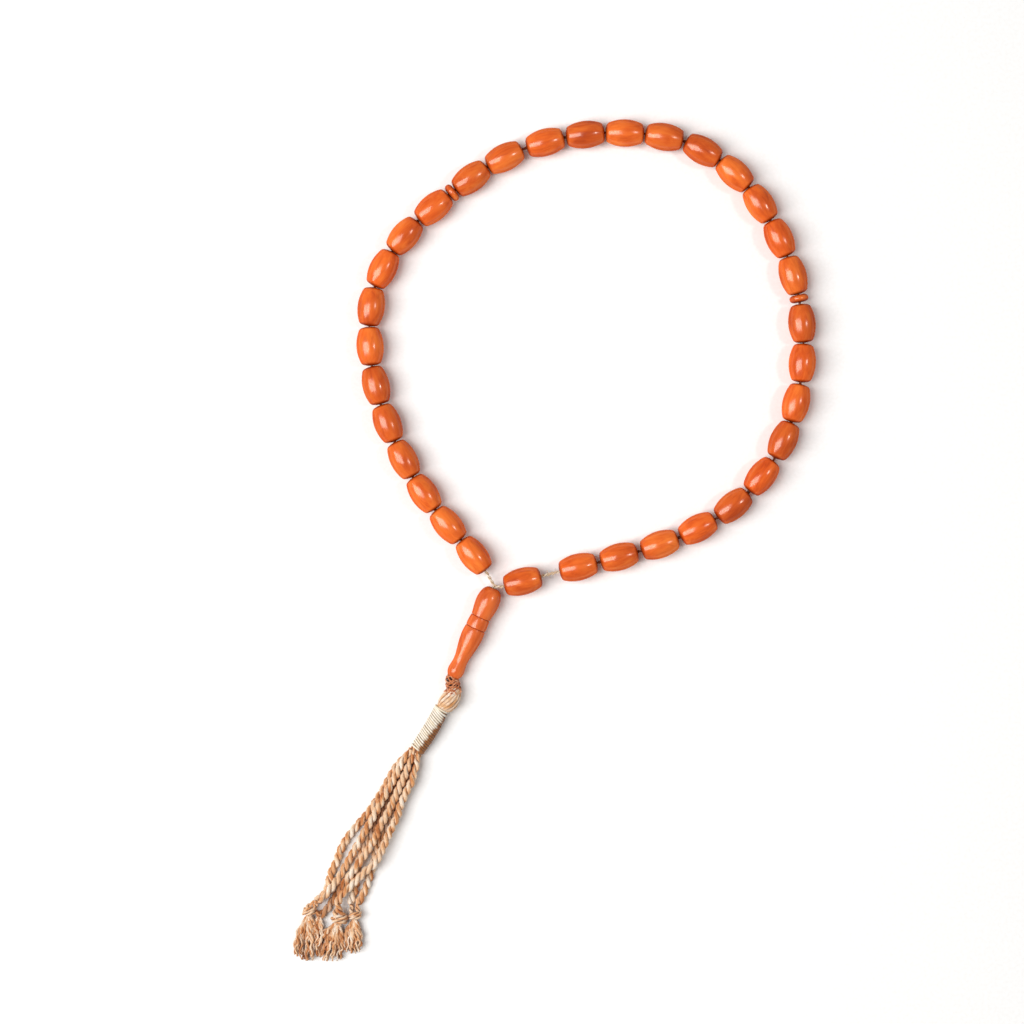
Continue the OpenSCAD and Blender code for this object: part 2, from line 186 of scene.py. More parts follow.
def column(value, n):
    """One value, or one for each of n points, as a column."""
    return np.broadcast_to(value, n)[:, None]


def offset(line, radius, angle):
    """The line moved off its own middle, by a radius and an angle at each point."""
    _, side, up = axes_along(line)
    a = column(angle, len(line))
    return line + column(radius, len(line)) * (np.cos(a) * side + np.sin(a) * up)


# ---- meshes ----

# How far each yarn of a cord lies from the middle, and its own radius, as shares of the cord's radius.
PLY_SPREAD = 0.46
PLY_RADIUS = 0.56
# Soft cords flatten where they rest, this high above the floor.
REST_HEIGHT = 0.00005
# How fast the wobble of a turned piece turns along its length, in radians for each metre.
WOBBLE_TWIST = 60
# Each yarn's number shifts its pattern, so that yarns side by side don't look the same. Where each
# kind's numbers start:
FIRST_PLY = {
    "strand": 0, "leader_string": 10, "stray_fibre": 20, "knot": 40, "wrap": 60, "brush": 80, "neck": 200,
    "neck_core": 220, "head": 240, "head_core": 290, "bundle": 291, "whipping": 300, "loose_end": 400,
}


def skin(rings, sides, closed=False):
    """Faces between rings of points. A closed skin meets its own start, and an open one has end caps."""
    faces = []
    if not closed:
        faces = [tuple(range(sides))[::-1], tuple((rings - 1) * sides + k for k in range(sides))]
    for i in range(rings if closed else rings - 1):
        here, there = i * sides, (i + 1) % rings * sides
        for k in range(sides):
            beside = (k + 1) % sides
            faces.append((here + k, here + beside, there + beside, there + k))
    return faces


def mesh_object(name, points, faces, values, material):
    """A smooth object whose points each carry some numbers or vectors, which its material reads."""
    mesh = bpy.data.meshes.new(name)
    mesh.from_pydata(points.tolist(), [], faces)
    mesh.polygons.foreach_set("use_smooth", [True] * len(mesh.polygons))
    for key, value in values.items():
        kind, field = ("FLOAT_VECTOR", "vector") if value.ndim == 2 else ("FLOAT", "value")
        made = mesh.attributes.new(key, kind, "POINT")
        made.data.foreach_set(field, value.astype(np.float32).ravel())
    obj = bpy.data.objects.new(name, mesh)
    bpy.context.scene.collection.objects.link(obj)
    obj.data.materials.append(material)
    return obj


class Pile:
    """Tubes that become one mesh.

    Each point keeps its place on its own yarn, that yarn's number, how far out of the cord it stands
    (0 to 1), and how much painted shadow it has.
    """

    def __init__(self):
        self.points = []
        self.faces = []
        self.values = {"place": [], "ply": [], "outward": [], "stain": []}
        self.count = 0

    def add(self, points, faces, **values):
        """Puts one more mesh on the pile."""
        self.points.append(points)
        self.faces.extend(tuple(self.count + i for i in f) for f in faces)
        for key, value in values.items():
            self.values[key].append(value)
        self.count += len(points)

    def tube(self, line, radius, sides, flat=1.0, lobes=0, depth=0.0, twist=0.0, ply=0.0,
             core=None, sunk=0.0, reach=1.0, stain=0.0):
        """A tube along a line. It can be flattened, and its section can have lobes that twist.

        How far out a point stands is its distance from the core less sunk, as a share of reach. The yarn
        paints shade into the grooves from it.
        """
        n = len(line)
        _, side, up = axes_along(line)
        s = distances(line)
        around = np.linspace(0, FULL_TURN, sides, endpoint=False)
        turn = twist * s[:, None]
        r = column(radius, n) * (1 - depth + depth * np.cos(lobes * (around - turn)))
        x, y = r * np.cos(around), flat * r * np.sin(around)
        rings = line[:, None] + x[..., None] * side[:, None] + y[..., None] * up[:, None]
        place = np.stack([np.broadcast_to(s[:, None], x.shape), x, y], axis=-1)
        outward = np.ones(x.shape)
        if core is not None:
            from_core = np.linalg.norm(rings - core[:, None], axis=-1)
            outward = (from_core - column(sunk, n)) / column(reach, n)
        self.add(rings.reshape(-1, 3), skin(n, sides), place=place.reshape(-1, 3),
                 ply=np.full(x.size, ply), outward=outward.ravel(),
                 stain=np.broadcast_to(column(stain, n), x.shape).ravel())

    def cord(self, line, radius, pitch, sides, lobes, depth=0.12, phase=0.0, ply=0.0, stain=0.0):
        """A two-ply cord: two yarns that wind round each other, each of a few smaller ones."""
        s = distances(line)
        radius = np.broadcast_to(radius, len(line))
        for k in (0, 1):
            angle = phase + math.pi * (2 * s / pitch + k)
            self.tube(offset(line, radius * PLY_SPREAD, angle), radius * PLY_RADIUS, sides, lobes=lobes,
                      depth=depth, twist=-2 * FULL_TURN / pitch, ply=ply + k, core=line, reach=radius,
                      stain=stain)

    def object(self, name, material, slot):
        """The whole pile as one object."""
        points = np.vstack(self.points)
        points[:, 2] = np.maximum(points[:, 2], REST_HEIGHT)
        values = {key: np.concatenate(parts) for key, parts in self.values.items()}
        return mesh_object(name, points, self.faces, values, material)


def lathe(name, outline, painted_shade, material, segments=64, wobble=0.0):
    """A turned piece: a closed outline of (distance along +Z, radius) swept round Z.

    The painted shade says how dark each point of the outline is painted, from 0 to 1. The wobble takes the
    piece a little out of round, always inwards.
    """
    around = np.linspace(0, FULL_TURN, segments, endpoint=False)
    phase = random.uniform(*ANY_ANGLE)
    tilt = random.uniform(-1, 1)
    rings = []
    for z, r in outline:
        own = r * (1 - wobble * (1 + np.cos(2 * around + phase + WOBBLE_TWIST * tilt * z)))
        rings.append(np.column_stack([own * np.cos(around), own * np.sin(around), np.full(segments, z)]))
    points = np.vstack(rings)
    faces = skin(len(outline), segments, closed=True)
    values = {"place": points, "painted_shade": np.repeat(painted_shade, segments)}
    return mesh_object(name, points, faces, values, material)


def stand_along(obj, middle, way):
    """Puts a turned piece's +Z along a direction, with its zero at a point."""
    z = Vector(way).normalized()
    x = Vector((0, 0, 1)).cross(z).normalized()
    y = z.cross(x)
    turn = Matrix((x, y, z)).transposed().to_4x4()
    obj.data.transform(Matrix.Translation(Vector(middle)) @ turn)


# ---- materials ----

# How deep the fine relief of resin and of yarn is.
RELIEF = 0.00012
# How fine the patterns in the resin are across the bore and along it, for each metre.
STREAKS = (460, 460, 95)
CLOUDS = (150, 150, 90)
SCUFFS = (900, 900, 500)
DENTS = (300, 300, 160)
# Each bead's own tint.
BEAD_TINTS = [(0.0, "#e9dfdb"), (0.5, "#ffffff"), (1.0, "#fff0e4")]
# The colour of painted shade at the mouths of the bores, in the leader bead's grooves and inside its bore.
SHADED_RESIN = "#7d1c08"
# How fine a yarn's fibres are along it and across it, for each millimetre.
FIBRES = (1.1, 14.0, 14.0)
# The colour of painted shade in the grooves where a yarn also has painted shadow.
SHADOWED_GROOVE_SHADE = "#45230d"


def srgb(code):
    """A colour for a shader, from its usual hex code."""
    parts = [int(code[i:i + 2], 16) / 255 for i in (1, 3, 5)]
    return [c / 12.92 if c <= 0.04045 else ((c + 0.055) / 1.055) ** 2.4 for c in parts] + [1.0]


class Shade:
    """A small helper to lay out one material's nodes."""

    def __init__(self, name, roughness, **sockets):
        self.material = bpy.data.materials.new(name)
        self.material.use_nodes = True
        self.tree = self.material.node_tree
        self.shader = self.tree.nodes["Principled BSDF"]
        self.shader.inputs["Roughness"].default_value = roughness
        for socket, value in sockets.items():
            self.shader.inputs[socket.replace("_", " ")].default_value = value

    def node(self, kind, **settings):
        """A new node with its settings."""
        made = self.tree.nodes.new(kind)
        for key, value in settings.items():
            setattr(made, key, value)
        return made

    def link(self, a, b):
        """Joins an output to an input."""
        self.tree.links.new(a, b)

    def carried(self, name, output="Fac"):
        """A number, or with output "Vector" a vector, that the mesh carries at its points."""
        return self.node("ShaderNodeAttribute", attribute_name=name).outputs[output]

    def scaled(self, vector, scale):
        """The vector with each of its parts made larger."""
        made = self.node("ShaderNodeVectorMath", operation="MULTIPLY")
        made.inputs[1].default_value = scale
        self.link(vector, made.inputs[0])
        return made.outputs[0]

    def shifted(self, vector, value, by):
        """The vector moved along (1, 1, 1) by a value, so that each yarn or bead has its own pattern."""
        scale = self.node("ShaderNodeMath", operation="MULTIPLY")
        scale.inputs[1].default_value = by
        self.link(value, scale.inputs[0])
        made = self.node("ShaderNodeVectorMath", operation="ADD")
        self.link(vector, made.inputs[0])
        self.link(scale.outputs[0], made.inputs[1])
        return made.outputs[0]

    def noise(self, vector, scale=1.0, detail=3.0, roughness=0.5, distortion=0.0):
        """Soft random values between 0 and 1."""
        made = self.node("ShaderNodeTexNoise")
        made.inputs["Scale"].default_value = scale
        made.inputs["Detail"].default_value = detail
        made.inputs["Roughness"].default_value = roughness
        made.inputs["Distortion"].default_value = distortion
        self.link(vector, made.inputs["Vector"])
        return made.outputs["Fac"]

    def ramp(self, value, stops):
        """A colour for each value, from stops of (value, colour)."""
        made = self.node("ShaderNodeValToRGB")
        elements = made.color_ramp.elements
        while len(elements) < len(stops):
            elements.new(0.5)
        for element, (at, colour) in zip(elements, stops):
            element.position = at
            element.color = srgb(colour)
        self.link(value, made.inputs["Fac"])
        return made.outputs["Color"]

    def mix(self, factor, a, b, blend="MIX"):
        """Two colours mixed. Each input is an output of a node, a number or a hex code."""
        made = self.node("ShaderNodeMix", data_type="RGBA", blend_type=blend)
        for socket, value in (("Factor", factor), ("A", a), ("B", b)):
            kind = "VALUE" if socket == "Factor" else "RGBA"
            target = next(i for i in made.inputs if i.name == socket and i.type == kind)
            if isinstance(value, str):
                target.default_value = srgb(value)
            elif isinstance(value, (int, float)):
                target.default_value = value
            else:
                self.link(value, target)
        return next(o for o in made.outputs if o.type == "RGBA")

    def spread(self, value, low, high, to_low, to_high):
        """A value between low and high, turned into one between two others."""
        made = self.node("ShaderNodeMapRange")
        for k, number in enumerate((low, high, to_low, to_high)):
            made.inputs[k + 1].default_value = number
        self.link(value, made.inputs[0])
        return made.outputs[0]

    def colour(self, colour):
        """Gives the shader its colour."""
        self.link(colour, self.shader.inputs["Base Color"])

    def bump(self, height, strength):
        """Gives the shader its fine relief."""
        made = self.node("ShaderNodeBump")
        made.inputs["Strength"].default_value = strength
        made.inputs["Distance"].default_value = RELIEF
        self.link(height, made.inputs["Height"])
        self.link(made.outputs["Normal"], self.shader.inputs["Normal"])


def resin(name, pale, middle, deep):
    """Polished opaque resin, with cloudy streaks that run along the bore. Painted shade darkens it towards
    the mouths of the bore, in grooves and inside the bore.
    """
    m = Shade(name, 0.2, Specular_Tint=(1.0, 0.97, 0.88, 1.0))
    place = m.carried("place", "Vector")
    painted_shade = m.carried("painted_shade")
    own = m.node("ShaderNodeObjectInfo").outputs["Random"]
    moved = m.shifted(place, own, 3.0)
    streaks = m.noise(m.scaled(moved, STREAKS), detail=6, roughness=0.68, distortion=0.8)
    clouds = m.noise(m.scaled(moved, CLOUDS), detail=2)
    tone = m.ramp(streaks, [(0.29, deep), (0.49, middle), (0.69, pale)])
    cloud_tone = m.ramp(clouds, [(0.36, deep), (0.5, middle), (0.64, pale)])
    base = m.mix(1.0, m.mix(0.4, tone, cloud_tone), m.ramp(own, BEAD_TINTS), "MULTIPLY")
    # Painted shade, mixed in as far as each point of the mesh asks.
    m.colour(m.mix(m.spread(painted_shade, 0.0, 1.0, 0.0, 0.85), base, SHADED_RESIN))
    scuffs = m.noise(m.scaled(moved, SCUFFS), detail=3)
    m.link(m.spread(scuffs, 0.3, 0.7, 0.15, 0.27), m.shader.inputs["Roughness"])
    facing = m.node("ShaderNodeLayerWeight").outputs["Facing"]
    m.link(m.spread(facing, 0.2, 0.5, 0.62, 0.02), m.shader.inputs["Specular IOR Level"])
    m.bump(m.noise(m.scaled(moved, DENTS), detail=2), 0.4)
    return m.material


def yarn(name, tones, patch=0.35, shade="#6b3517", groove=(0.36, 0.68), stained="#8a5226"):
    """Spun yarn: fibres along each ply, tones that change along it, painted shade in the grooves and
    painted shadow.

    Patch says how quickly the tones change along the yarn, for each millimetre. Groove says how far out
    of the cord the painted shade of the grooves starts to fade, and where it has gone.
    """
    m = Shade(name, 0.85, Sheen_Weight=0.2, Sheen_Roughness=0.5, Specular_IOR_Level=0.2)
    in_millimetres = m.scaled(m.carried("place", "Vector"), (1000,) * 3)
    ply = m.carried("ply")
    outward = m.carried("outward")
    stain = m.carried("stain")
    moved = m.shifted(in_millimetres, ply, 7.31)
    patches = m.noise(m.scaled(moved, (patch, 0.5, 0.5)), detail=2, distortion=0.4)
    fibres = m.noise(m.scaled(moved, FIBRES), detail=4, roughness=0.6)
    # Painted shadow, mixed in as far as each point of the mesh asks.
    tone = m.mix(stain, m.ramp(patches, tones), stained)
    dark = m.mix(stain, shade, SHADOWED_GROOVE_SHADE)
    tone = m.mix(m.spread(fibres, 0.34, 0.56, 0.42, 0.0), tone, dark)
    # Painted shade in the grooves, darkest deep inside the cord.
    m.colour(m.mix(m.spread(outward, groove[0], groove[1], 0.85, 0.0), tone, dark))
    m.bump(fibres, 0.7)
    return m.material


def floor_material():
    """Pale paper with a slight grain."""
    m = Shade("pale_paper", 0.9, Specular_IOR_Level=0.1)
    grain = m.noise(m.node("ShaderNodeTexCoord").outputs["Object"], scale=900, detail=3)
    m.colour(m.ramp(grain, [(0.3, "#f6f5f3"), (0.7, "#fbfaf9")]))
    return m.material


BEAD_RESIN = resin("bead_resin", "#f88232", "#e4631e", "#b6400c")
LEADER_RESIN = resin("leader_resin", "#f07c3a", "#dc6428", "#b44614")
# The string's red, where the mesh asks for it, is painted shadow and painted warm reflection from the beads.
STRING_YARN = yarn(
    "string_yarn", [(0.3, "#c9a27a"), (0.5, "#ead6b8"), (0.7, "#f8eedb")], shade="#8a6240", stained="#8a3a1a")
# Its brown, where the mesh asks for it, is painted shade on the side of the whipping away from the key light.
WHIPPING_YARN = yarn(
    "whipping_yarn", [(0.3, "#efe0c4"), (0.5, "#faf2e2"), (0.75, "#fffaf0")], shade="#a5825a",
    groove=(0.5, 0.86), stained="#a86a34")
NECK_YARN = yarn("neck_yarn", [(0.3, "#94421f"), (0.5, "#cf7a48"), (0.7, "#f3b890")], shade="#4a1a0c")
# The cores are painted near-black, as painted shade seen through the gaps in the threads and folds over them.
SHADE_CORE_YARN = yarn("shade_core_yarn", [(0.3, "#220c07"), (0.5, "#35160c"), (0.7, "#52240f")], shade="#1a0804")
# Its brown, where the mesh asks for it, is painted shadow on the strands beneath the others, near one
# strand's knot and on the lowest yarns of the brushes.
TASSEL_YARN = yarn(
    "tassel_yarn", [(0.28, "#b0602c"), (0.42, "#e09e66"), (0.54, "#f5cfa8"), (0.70, "#fff0dd")],
    patch=0.2, shade="#6e3212", stained="#8c4a22")
HEAD_YARN = yarn(
    "head_yarn", [(0.28, "#cf9058"), (0.42, "#ecba88"), (0.54, "#f9dabb"), (0.70, "#fff2e2")],
    patch=0.3, shade="#8a4f22", groove=(0.5, 0.88))


# ---- camera and light ----

LENS = 85.0
SENSOR = 36.0
# The width of floor that the camera sees at the height of the beads' middles, and where it looks.
VIEW_WIDTH = 0.3354
VIEW_MIDDLE = (-0.0244, -0.0247)
VIEW_HEIGHT = 0.0045
AMBIENT = 0.25
FLOOR_SIZE = 6


def camera():
    """Straight down on the beads, as high as the lens needs to frame them."""
    data = bpy.data.cameras.new("camera")
    data.lens = LENS
    data.sensor_width = SENSOR
    obj = bpy.data.objects.new("camera", data)
    obj.location = (*VIEW_MIDDLE, VIEW_HEIGHT + VIEW_WIDTH * LENS / SENSOR)
    bpy.context.scene.collection.objects.link(obj)
    bpy.context.scene.camera = obj


def softbox(name, place, size, power):
    """A rectangular light that faces the middle of the beads."""
    data = bpy.data.lights.new(name, "AREA")
    data.shape = "RECTANGLE"
    data.size, data.size_y = size
    data.energy = power
    obj = bpy.data.objects.new(name, data)
    obj.location = place
    obj.rotation_euler = (Vector((0, 0, 0)) - Vector(place)).to_track_quat("-Z", "Y").to_euler()
    bpy.context.scene.collection.objects.link(obj)


def studio():
    """A large soft light on the left, a small one on the right, and a little light from all round."""
    softbox("key_left", place=(-0.78, -0.08, 1.15), size=(0.78, 1.22), power=21.6)
    softbox("spark_right", place=(0.72, 0.10, 1.10), size=(0.16, 0.16), power=2.6)
    world = bpy.data.worlds.new("studio")
    world.use_nodes = True
    background = world.node_tree.nodes["Background"]
    background.inputs["Color"].default_value = (1.0, 0.99, 0.98, 1)
    background.inputs["Strength"].default_value = AMBIENT
    bpy.context.scene.world = world
    bpy.context.scene.view_settings.view_transform = "Standard"


def floor():
    """A sheet of pale paper under everything."""
    bpy.ops.mesh.primitive_plane_add(size=FLOOR_SIZE)
    plane = bpy.context.object
    plane.name = "floor"
    plane.data.materials.append(floor_material())


# ---- string ----

STRING_LINE = smooth([JOIN] + STRING_ROUTE + [JOIN], 24)
STRING_STEP = 0.00025
STRING_RADIUS = 0.00055
STRING_PITCH = 0.0032
# Painted shadow and painted warm reflection from the beads darken the string red where it runs
# through them, apart from this much at its start and at its end.
UNSHADOWED_START = 0.006
UNSHADOWED_END = 0.022
SHADOW_EDGE = 0.001
# Loose fibres that stand off the bare string before the last bead: how many, the first one's distance
# from the string's end, the gap between them, and the shortest and the longest in millimetres.
STRAY_FIBRES = 12
STRAY_FROM_END = 0.0155
STRAY_GAP = 0.0004
STRAY_LENGTH = (0.7, 1.6)
STRAY_RADIUS = 0.06 * MM
STRAY_ARCH = 0.3 * MM
STRAY_TURN = 2.4


def stray_fibre(pile, start, k):
    """A loose fibre that stands off the string, each one turned on from the last."""
    turn = STRAY_TURN * k
    way = np.array([math.cos(turn), math.sin(turn), 0.5 * math.cos(3 * turn)])
    tip = start + random.uniform(*STRAY_LENGTH) * MM * way
    arch = (start + tip) / 2 + STRAY_ARCH * UP
    pile.tube(smooth([start, arch, tip], 5), STRAY_RADIUS, sides=5, ply=FIRST_PLY["stray_fibre"] + k)


def string():
    """The twisted two-ply string, from the join round to the join again."""
    line = resample(STRING_LINE, STRING_STEP)
    s = distances(line)
    length = float(s[-1])
    edges = [UNSHADOWED_START, UNSHADOWED_START + SHADOW_EDGE, length - UNSHADOWED_END - SHADOW_EDGE, length - UNSHADOWED_END]
    # Painted shadow along the string inside the row of beads.
    stain = np.interp(s, edges, [0, 1, 1, 0])
    pile = Pile()
    pile.cord(line, STRING_RADIUS, STRING_PITCH, sides=10, lobes=3, depth=0.1, stain=stain)
    for k in range(STRAY_FIBRES):
        from_start = length - STRAY_FROM_END - STRAY_GAP * k
        stray_fibre(pile, line[int(np.argmin(np.abs(s - from_start)))], k)
    obj = pile.object("string_twist", STRING_YARN, "string")
    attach(obj, "string")
    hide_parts("string_loop", "string_join")


# ---- strands, knots and brushes ----

def whip_axes():
    """The whipping's direction, and the two axes across it."""
    way = unit(np.array(WHIP_END) - np.array(WHIP_START))
    side = unit(np.cross(way, UP))
    return way, side, np.cross(side, way)


WHIP_WAY, WHIP_SIDE, WHIP_UP = whip_axes()
# Each strand leaves the whipping with a small gap, runs straight a little, and swells to its radius.
STRAND_GAP = 0.0002
STRAND_LEAD = 0.0015
START_RADIUS = 0.00095
STRAND_RADIUS = 0.0014
TAPER = 0.009
STRAND_STEP = 0.00028
STRAND_PITCH = 0.0054
# How far each strand's twist is turned on from the last one's.
STRAND_PHASE = 1.3
# How much brown painted shadow each strand has in the middle of its length. Those beneath the
# others have the most, as shadow of the strands over them.
STRAND_SHADOWS = [0.1, 0.0, 0.1, 0.0, 0.5, 0.8]
SHADOWED_SHARES = [0, 0.12, 0.5, 0.68]
# This strand has reddish-brown painted shadow near its knot instead.
REDDISH_STRAND = 2
REDDISH_SHADOW = 0.45
REDDISH_SHARES = [0.7, 0.85]


def strand_line(i):
    """A strand's middle line, from the end of the whipping to its knot."""
    sideways, lift = STRAND_STARTS[i]
    start = np.array(WHIP_END) + STRAND_GAP * WHIP_WAY - sideways * MM * WHIP_SIDE + lift * MM * WHIP_UP
    return smooth([start, start + STRAND_LEAD * WHIP_WAY] + STRAND_ROUTES[i], 16)


def strand_stain(i, share):
    """How much brown painted shadow a strand has at each share of its length."""
    if i == REDDISH_STRAND:
        return REDDISH_SHADOW * np.interp(share, REDDISH_SHARES, [0, 1])
    return STRAND_SHADOWS[i] * np.interp(share, SHADOWED_SHARES, [0, 1, 1, 0])


def strands():
    """The six plied strands, each with its middle line."""
    made = []
    for i in range(len(STRAND_ROUTES)):
        line = resample(strand_line(i), STRAND_STEP)
        s = distances(line)
        radius = START_RADIUS + (STRAND_RADIUS - START_RADIUS) * np.clip(s / TAPER, 0, 1)
        pile = Pile()
        pile.cord(line, radius, STRAND_PITCH, sides=20, lobes=5, depth=0.1, phase=STRAND_PHASE * i,
                  ply=FIRST_PLY["strand"] + 3 * i, stain=strand_stain(i, s / s[-1]))
        obj = pile.object(f"strand_{i + 1}_plied", TASSEL_YARN, "tassel_cord")
        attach(obj, "tassel")
        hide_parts(f"strand_{i + 1}")
        made.append((obj, line))
    return made


# A knot's shape, in shares of its radius: its cords' radius, how far they swing out, how far behind its
# middle they are pulled, and how far past it they end.
KNOT_CORD = 0.42
KNOT_SWING = 0.5
KNOT_PULL = 0.3
KNOT_ROOT = 0.8
KNOT_TURNS = 0.9
KNOT_LEAN = 0.6
KNOT_SAMPLES = 90
KNOT_STEP = 0.0003
KNOT_PITCH = 0.0052
# The wrap that closes over a knot, in shares of the knot's radius.
WRAP_CORD = 0.36
WRAP_RADIUS = 0.72
WRAP_WIDENING = 1.12
WRAP_START = -0.35
WRAP_RUN = 0.9
WRAP_SLANT = 0.25
WRAP_TURNS = 1.6
WRAP_PHASE = 0.4
WRAP_PITCH = 0.0048


def knot_box(k):
    """A knot's middle and its radius."""
    low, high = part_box(f"strand_knot_{k + 1}")
    return np.array((low + high) / 2), (high.z - low.z) / 2


def knot_cord(pile, k, j):
    """One cord inside a knot, from the end of its strand round to where the brush starts."""
    middle, size = knot_box(k)
    way, side = floor_axes(BRUSHES[k][0])
    t = steps(KNOT_SAMPLES)
    start = strand_line(KNOTTED[k][j % len(KNOTTED[k])])[-1]
    core = bend(start, middle - way * KNOT_PULL * size, middle + way * KNOT_ROOT * size, t)
    swing = KNOT_SWING * size * np.sin(math.pi * t) ** 0.6
    angle = FULL_TURN * KNOT_TURNS * t + math.pi * j + KNOT_LEAN * (1 + j // 2)
    line = core + swing * (np.cos(angle) * side + np.sin(angle) * UP)
    pile.cord(resample(line, KNOT_STEP), KNOT_CORD * size, KNOT_PITCH, sides=16, lobes=4,
              ply=FIRST_PLY["knot"] + 6 * k + 3 * j)


def knot_wrap(pile, k):
    """The cord that closes over a knot."""
    middle, size = knot_box(k)
    way, side = floor_axes(BRUSHES[k][0])
    t = steps(KNOT_SAMPLES)
    angle = FULL_TURN * WRAP_TURNS * t + WRAP_PHASE
    line = middle + way * size * (WRAP_RUN * t + WRAP_START + WRAP_SLANT * np.cos(angle))
    line = line + WRAP_RADIUS * size * (WRAP_WIDENING * np.cos(angle) * side + np.sin(angle) * UP)
    pile.cord(resample(line, KNOT_STEP), WRAP_CORD * size, WRAP_PITCH, sides=16, lobes=4,
              ply=FIRST_PLY["wrap"] + 6 * k)


def knot(k):
    """An overhand knot: its cords turn round each other, and one wrap closes over them.

    A cord that is alone in its knot turns round its own end.
    """
    pile = Pile()
    for j in range(max(2, len(KNOTTED[k]))):
        knot_cord(pile, k, j)
    knot_wrap(pile, k)
    obj = pile.object(f"strand_knot_{k + 1}_tied", TASSEL_YARN, "tassel_cord")
    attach(obj, "tassel")
    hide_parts(f"strand_knot_{k + 1}")
    return obj


BRUSH_YARNS = 38
# How far apart the brushes' yarn numbers start.
BRUSH_NUMBERS = 40
# How much brown painted shadow the lowest yarns of a brush get.
BRUSH_SHADOW = 0.75
# Where a brush starts, as a share of its knot's radius.
BRUSH_ROOT = 0.55
# The end of the reddish strand, which runs on past its knot: heading, length, spread, yarns.
LOOSE_END = (256, 9.5, 2.4, 14)
# How much brown painted shadow the lowest yarns of the loose end get.
LOOSE_SHADOW = 1.0
# The yarns of a fan draw together into locks, this many to each half of it.
LOCKS = 2.5
LOCK_PULL = 0.4
# How much shorter a fan is at its edges, as a share, and how uneven its yarns are, in millimetres.
FAN_ROUNDING = 0.16
FAN_UNEVEN = (0, 2.2)
# How far its yarns' bellies stand out sideways, as shares of their tips' distance.
BELLY = (0.35, 0.75)
# The height of a lowest yarn's tip, and how much higher a highest one's is, in millimetres.
LOWEST_TIP = 0.4
TIP_HEIGHTS = 2.8
# A loose yarn: its waves' height and its radius in millimetres, how many waves, and how much it thins.
WAVE_HEIGHT = (0.2, 0.45)
WAVE_TURNS = (2.4, 3.8)
WAVE_FLATTENING = 0.7
# The waves are highest about halfway along, and a little lower from two thirds of the way on.
WAVE_GROWTH = 1.5
WAVE_SETTLING = 1.6
YARN_RADIUS = (0.36, 0.58)
YARN_THINNING = 0.3
YARN_SAMPLES = 64


def wavy_yarn(pile, line, side, ply, stain):
    """A loose yarn, which waves about its line and thins towards its tip."""
    t = steps(len(line))
    growth = np.sin(math.pi * np.clip(t * WAVE_GROWTH, 0, 1) / WAVE_SETTLING)
    wave = random.uniform(*WAVE_HEIGHT) * MM * growth
    phase = random.uniform(*ANY_ANGLE)
    turns = random.uniform(*WAVE_TURNS)
    thick = random.uniform(*YARN_RADIUS) * MM
    angle = phase + FULL_TURN * turns * t
    line = line + wave * (np.cos(angle) * side + WAVE_FLATTENING * np.sin(angle) * UP)
    radius = thick * (1 - YARN_THINNING * t[:, 0] ** 3)
    pile.tube(line, radius, sides=10, flat=0.8, lobes=4, depth=0.18, twist=900, ply=ply, stain=stain)


def fan(pile, root, heading, length, spread, yarns, ply, stain):
    """Wavy yarns in a few locks, which fan out on the floor from a root."""
    way, side = floor_axes(heading)
    t = steps(YARN_SAMPLES)
    for e in range(yarns):
        across = ((e + 0.5) / yarns - 0.5) * 2
        lock = round(across * LOCKS) / LOCKS
        across = (1 - LOCK_PULL) * across + LOCK_PULL * lock
        reach = (length * (1 - FAN_ROUNDING * across ** 2) - random.uniform(*FAN_UNEVEN)) * MM
        out = across * spread * MM
        height = random.uniform(0, 1)
        lift = (LOWEST_TIP + TIP_HEIGHTS * height) * MM
        tip = np.array([root[0], root[1], 0]) + way * reach + side * out + UP * lift
        belly = (root + tip) / 2 + side * out * random.uniform(*BELLY)
        # The yarns that lie lowest get the most brown painted shadow.
        wavy_yarn(pile, bend(root, belly, tip, t), side, ply + e, stain * (1 - height) ** 1.5)


def brush(k):
    """The untwisted ends below a knot."""
    middle, size = knot_box(k)
    heading, length, spread = BRUSHES[k]
    way, _ = floor_axes(heading)
    root_gap = BRUSH_ROOT * size
    pile = Pile()
    fan(pile, middle + way * root_gap, heading, length - root_gap / MM, spread, BRUSH_YARNS,
        FIRST_PLY["brush"] + BRUSH_NUMBERS * k, BRUSH_SHADOW)
    if REDDISH_STRAND in KNOTTED[k]:
        heading, length, spread, yarns = LOOSE_END
        fan(pile, strand_line(REDDISH_STRAND)[-1], heading, length, spread, yarns,
            FIRST_PLY["loose_end"], LOOSE_SHADOW)
    obj = pile.object(f"frayed_end_{k + 1}_yarns", TASSEL_YARN, "tassel_cord")
    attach(obj, "tassel")
    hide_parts(f"frayed_end_{k + 1}")
    return obj


def tassel_cords():
    """The strands, with the knot and the brush of each group on its first strand."""
    cords = strands()
    knots = [knot(k) for k in range(len(KNOTTED))]
    brushes = [brush(k) for k in range(len(KNOTTED))]


# ---- beads ----

BEAD_LENGTH = 0.0128
BEAD_RADIUS = 0.0045
BEAD_END_RADIUS = 0.0028
# A bead's ends are domed, and the corner between its side and each dome is rounded.
DOME_RADIUS = 0.009
CORNER = 0.0015
BORE = 0.0011
# The bore widens to this radius over this depth at each mouth. The rings inside it start further in.
MOUTH_RADIUS = 1.15 * BORE
MOUTH_DEPTH = 0.15 * MM
BORE_INSET = 0.4 * MM
# How far out of true beads and discs are, as shares of their radius.
BEAD_WOBBLE = (0.001, 0.005)
DISC_WOBBLE = 0.003
DISC_THICKNESS = 0.0024
DISC_RADIUS = 0.0031
# How far in from its ends a piece starts to darken with painted shade.
MOUTH_FADE = 0.0009


def arc(middle, radius, start, end, n):
    """Points on an arc. An angle of zero is straight out from the bore, and it grows towards the far end."""
    angles = np.linspace(start, end, n)
    return [(middle[0] + radius * math.sin(a), middle[1] + radius * math.cos(a)) for a in angles]


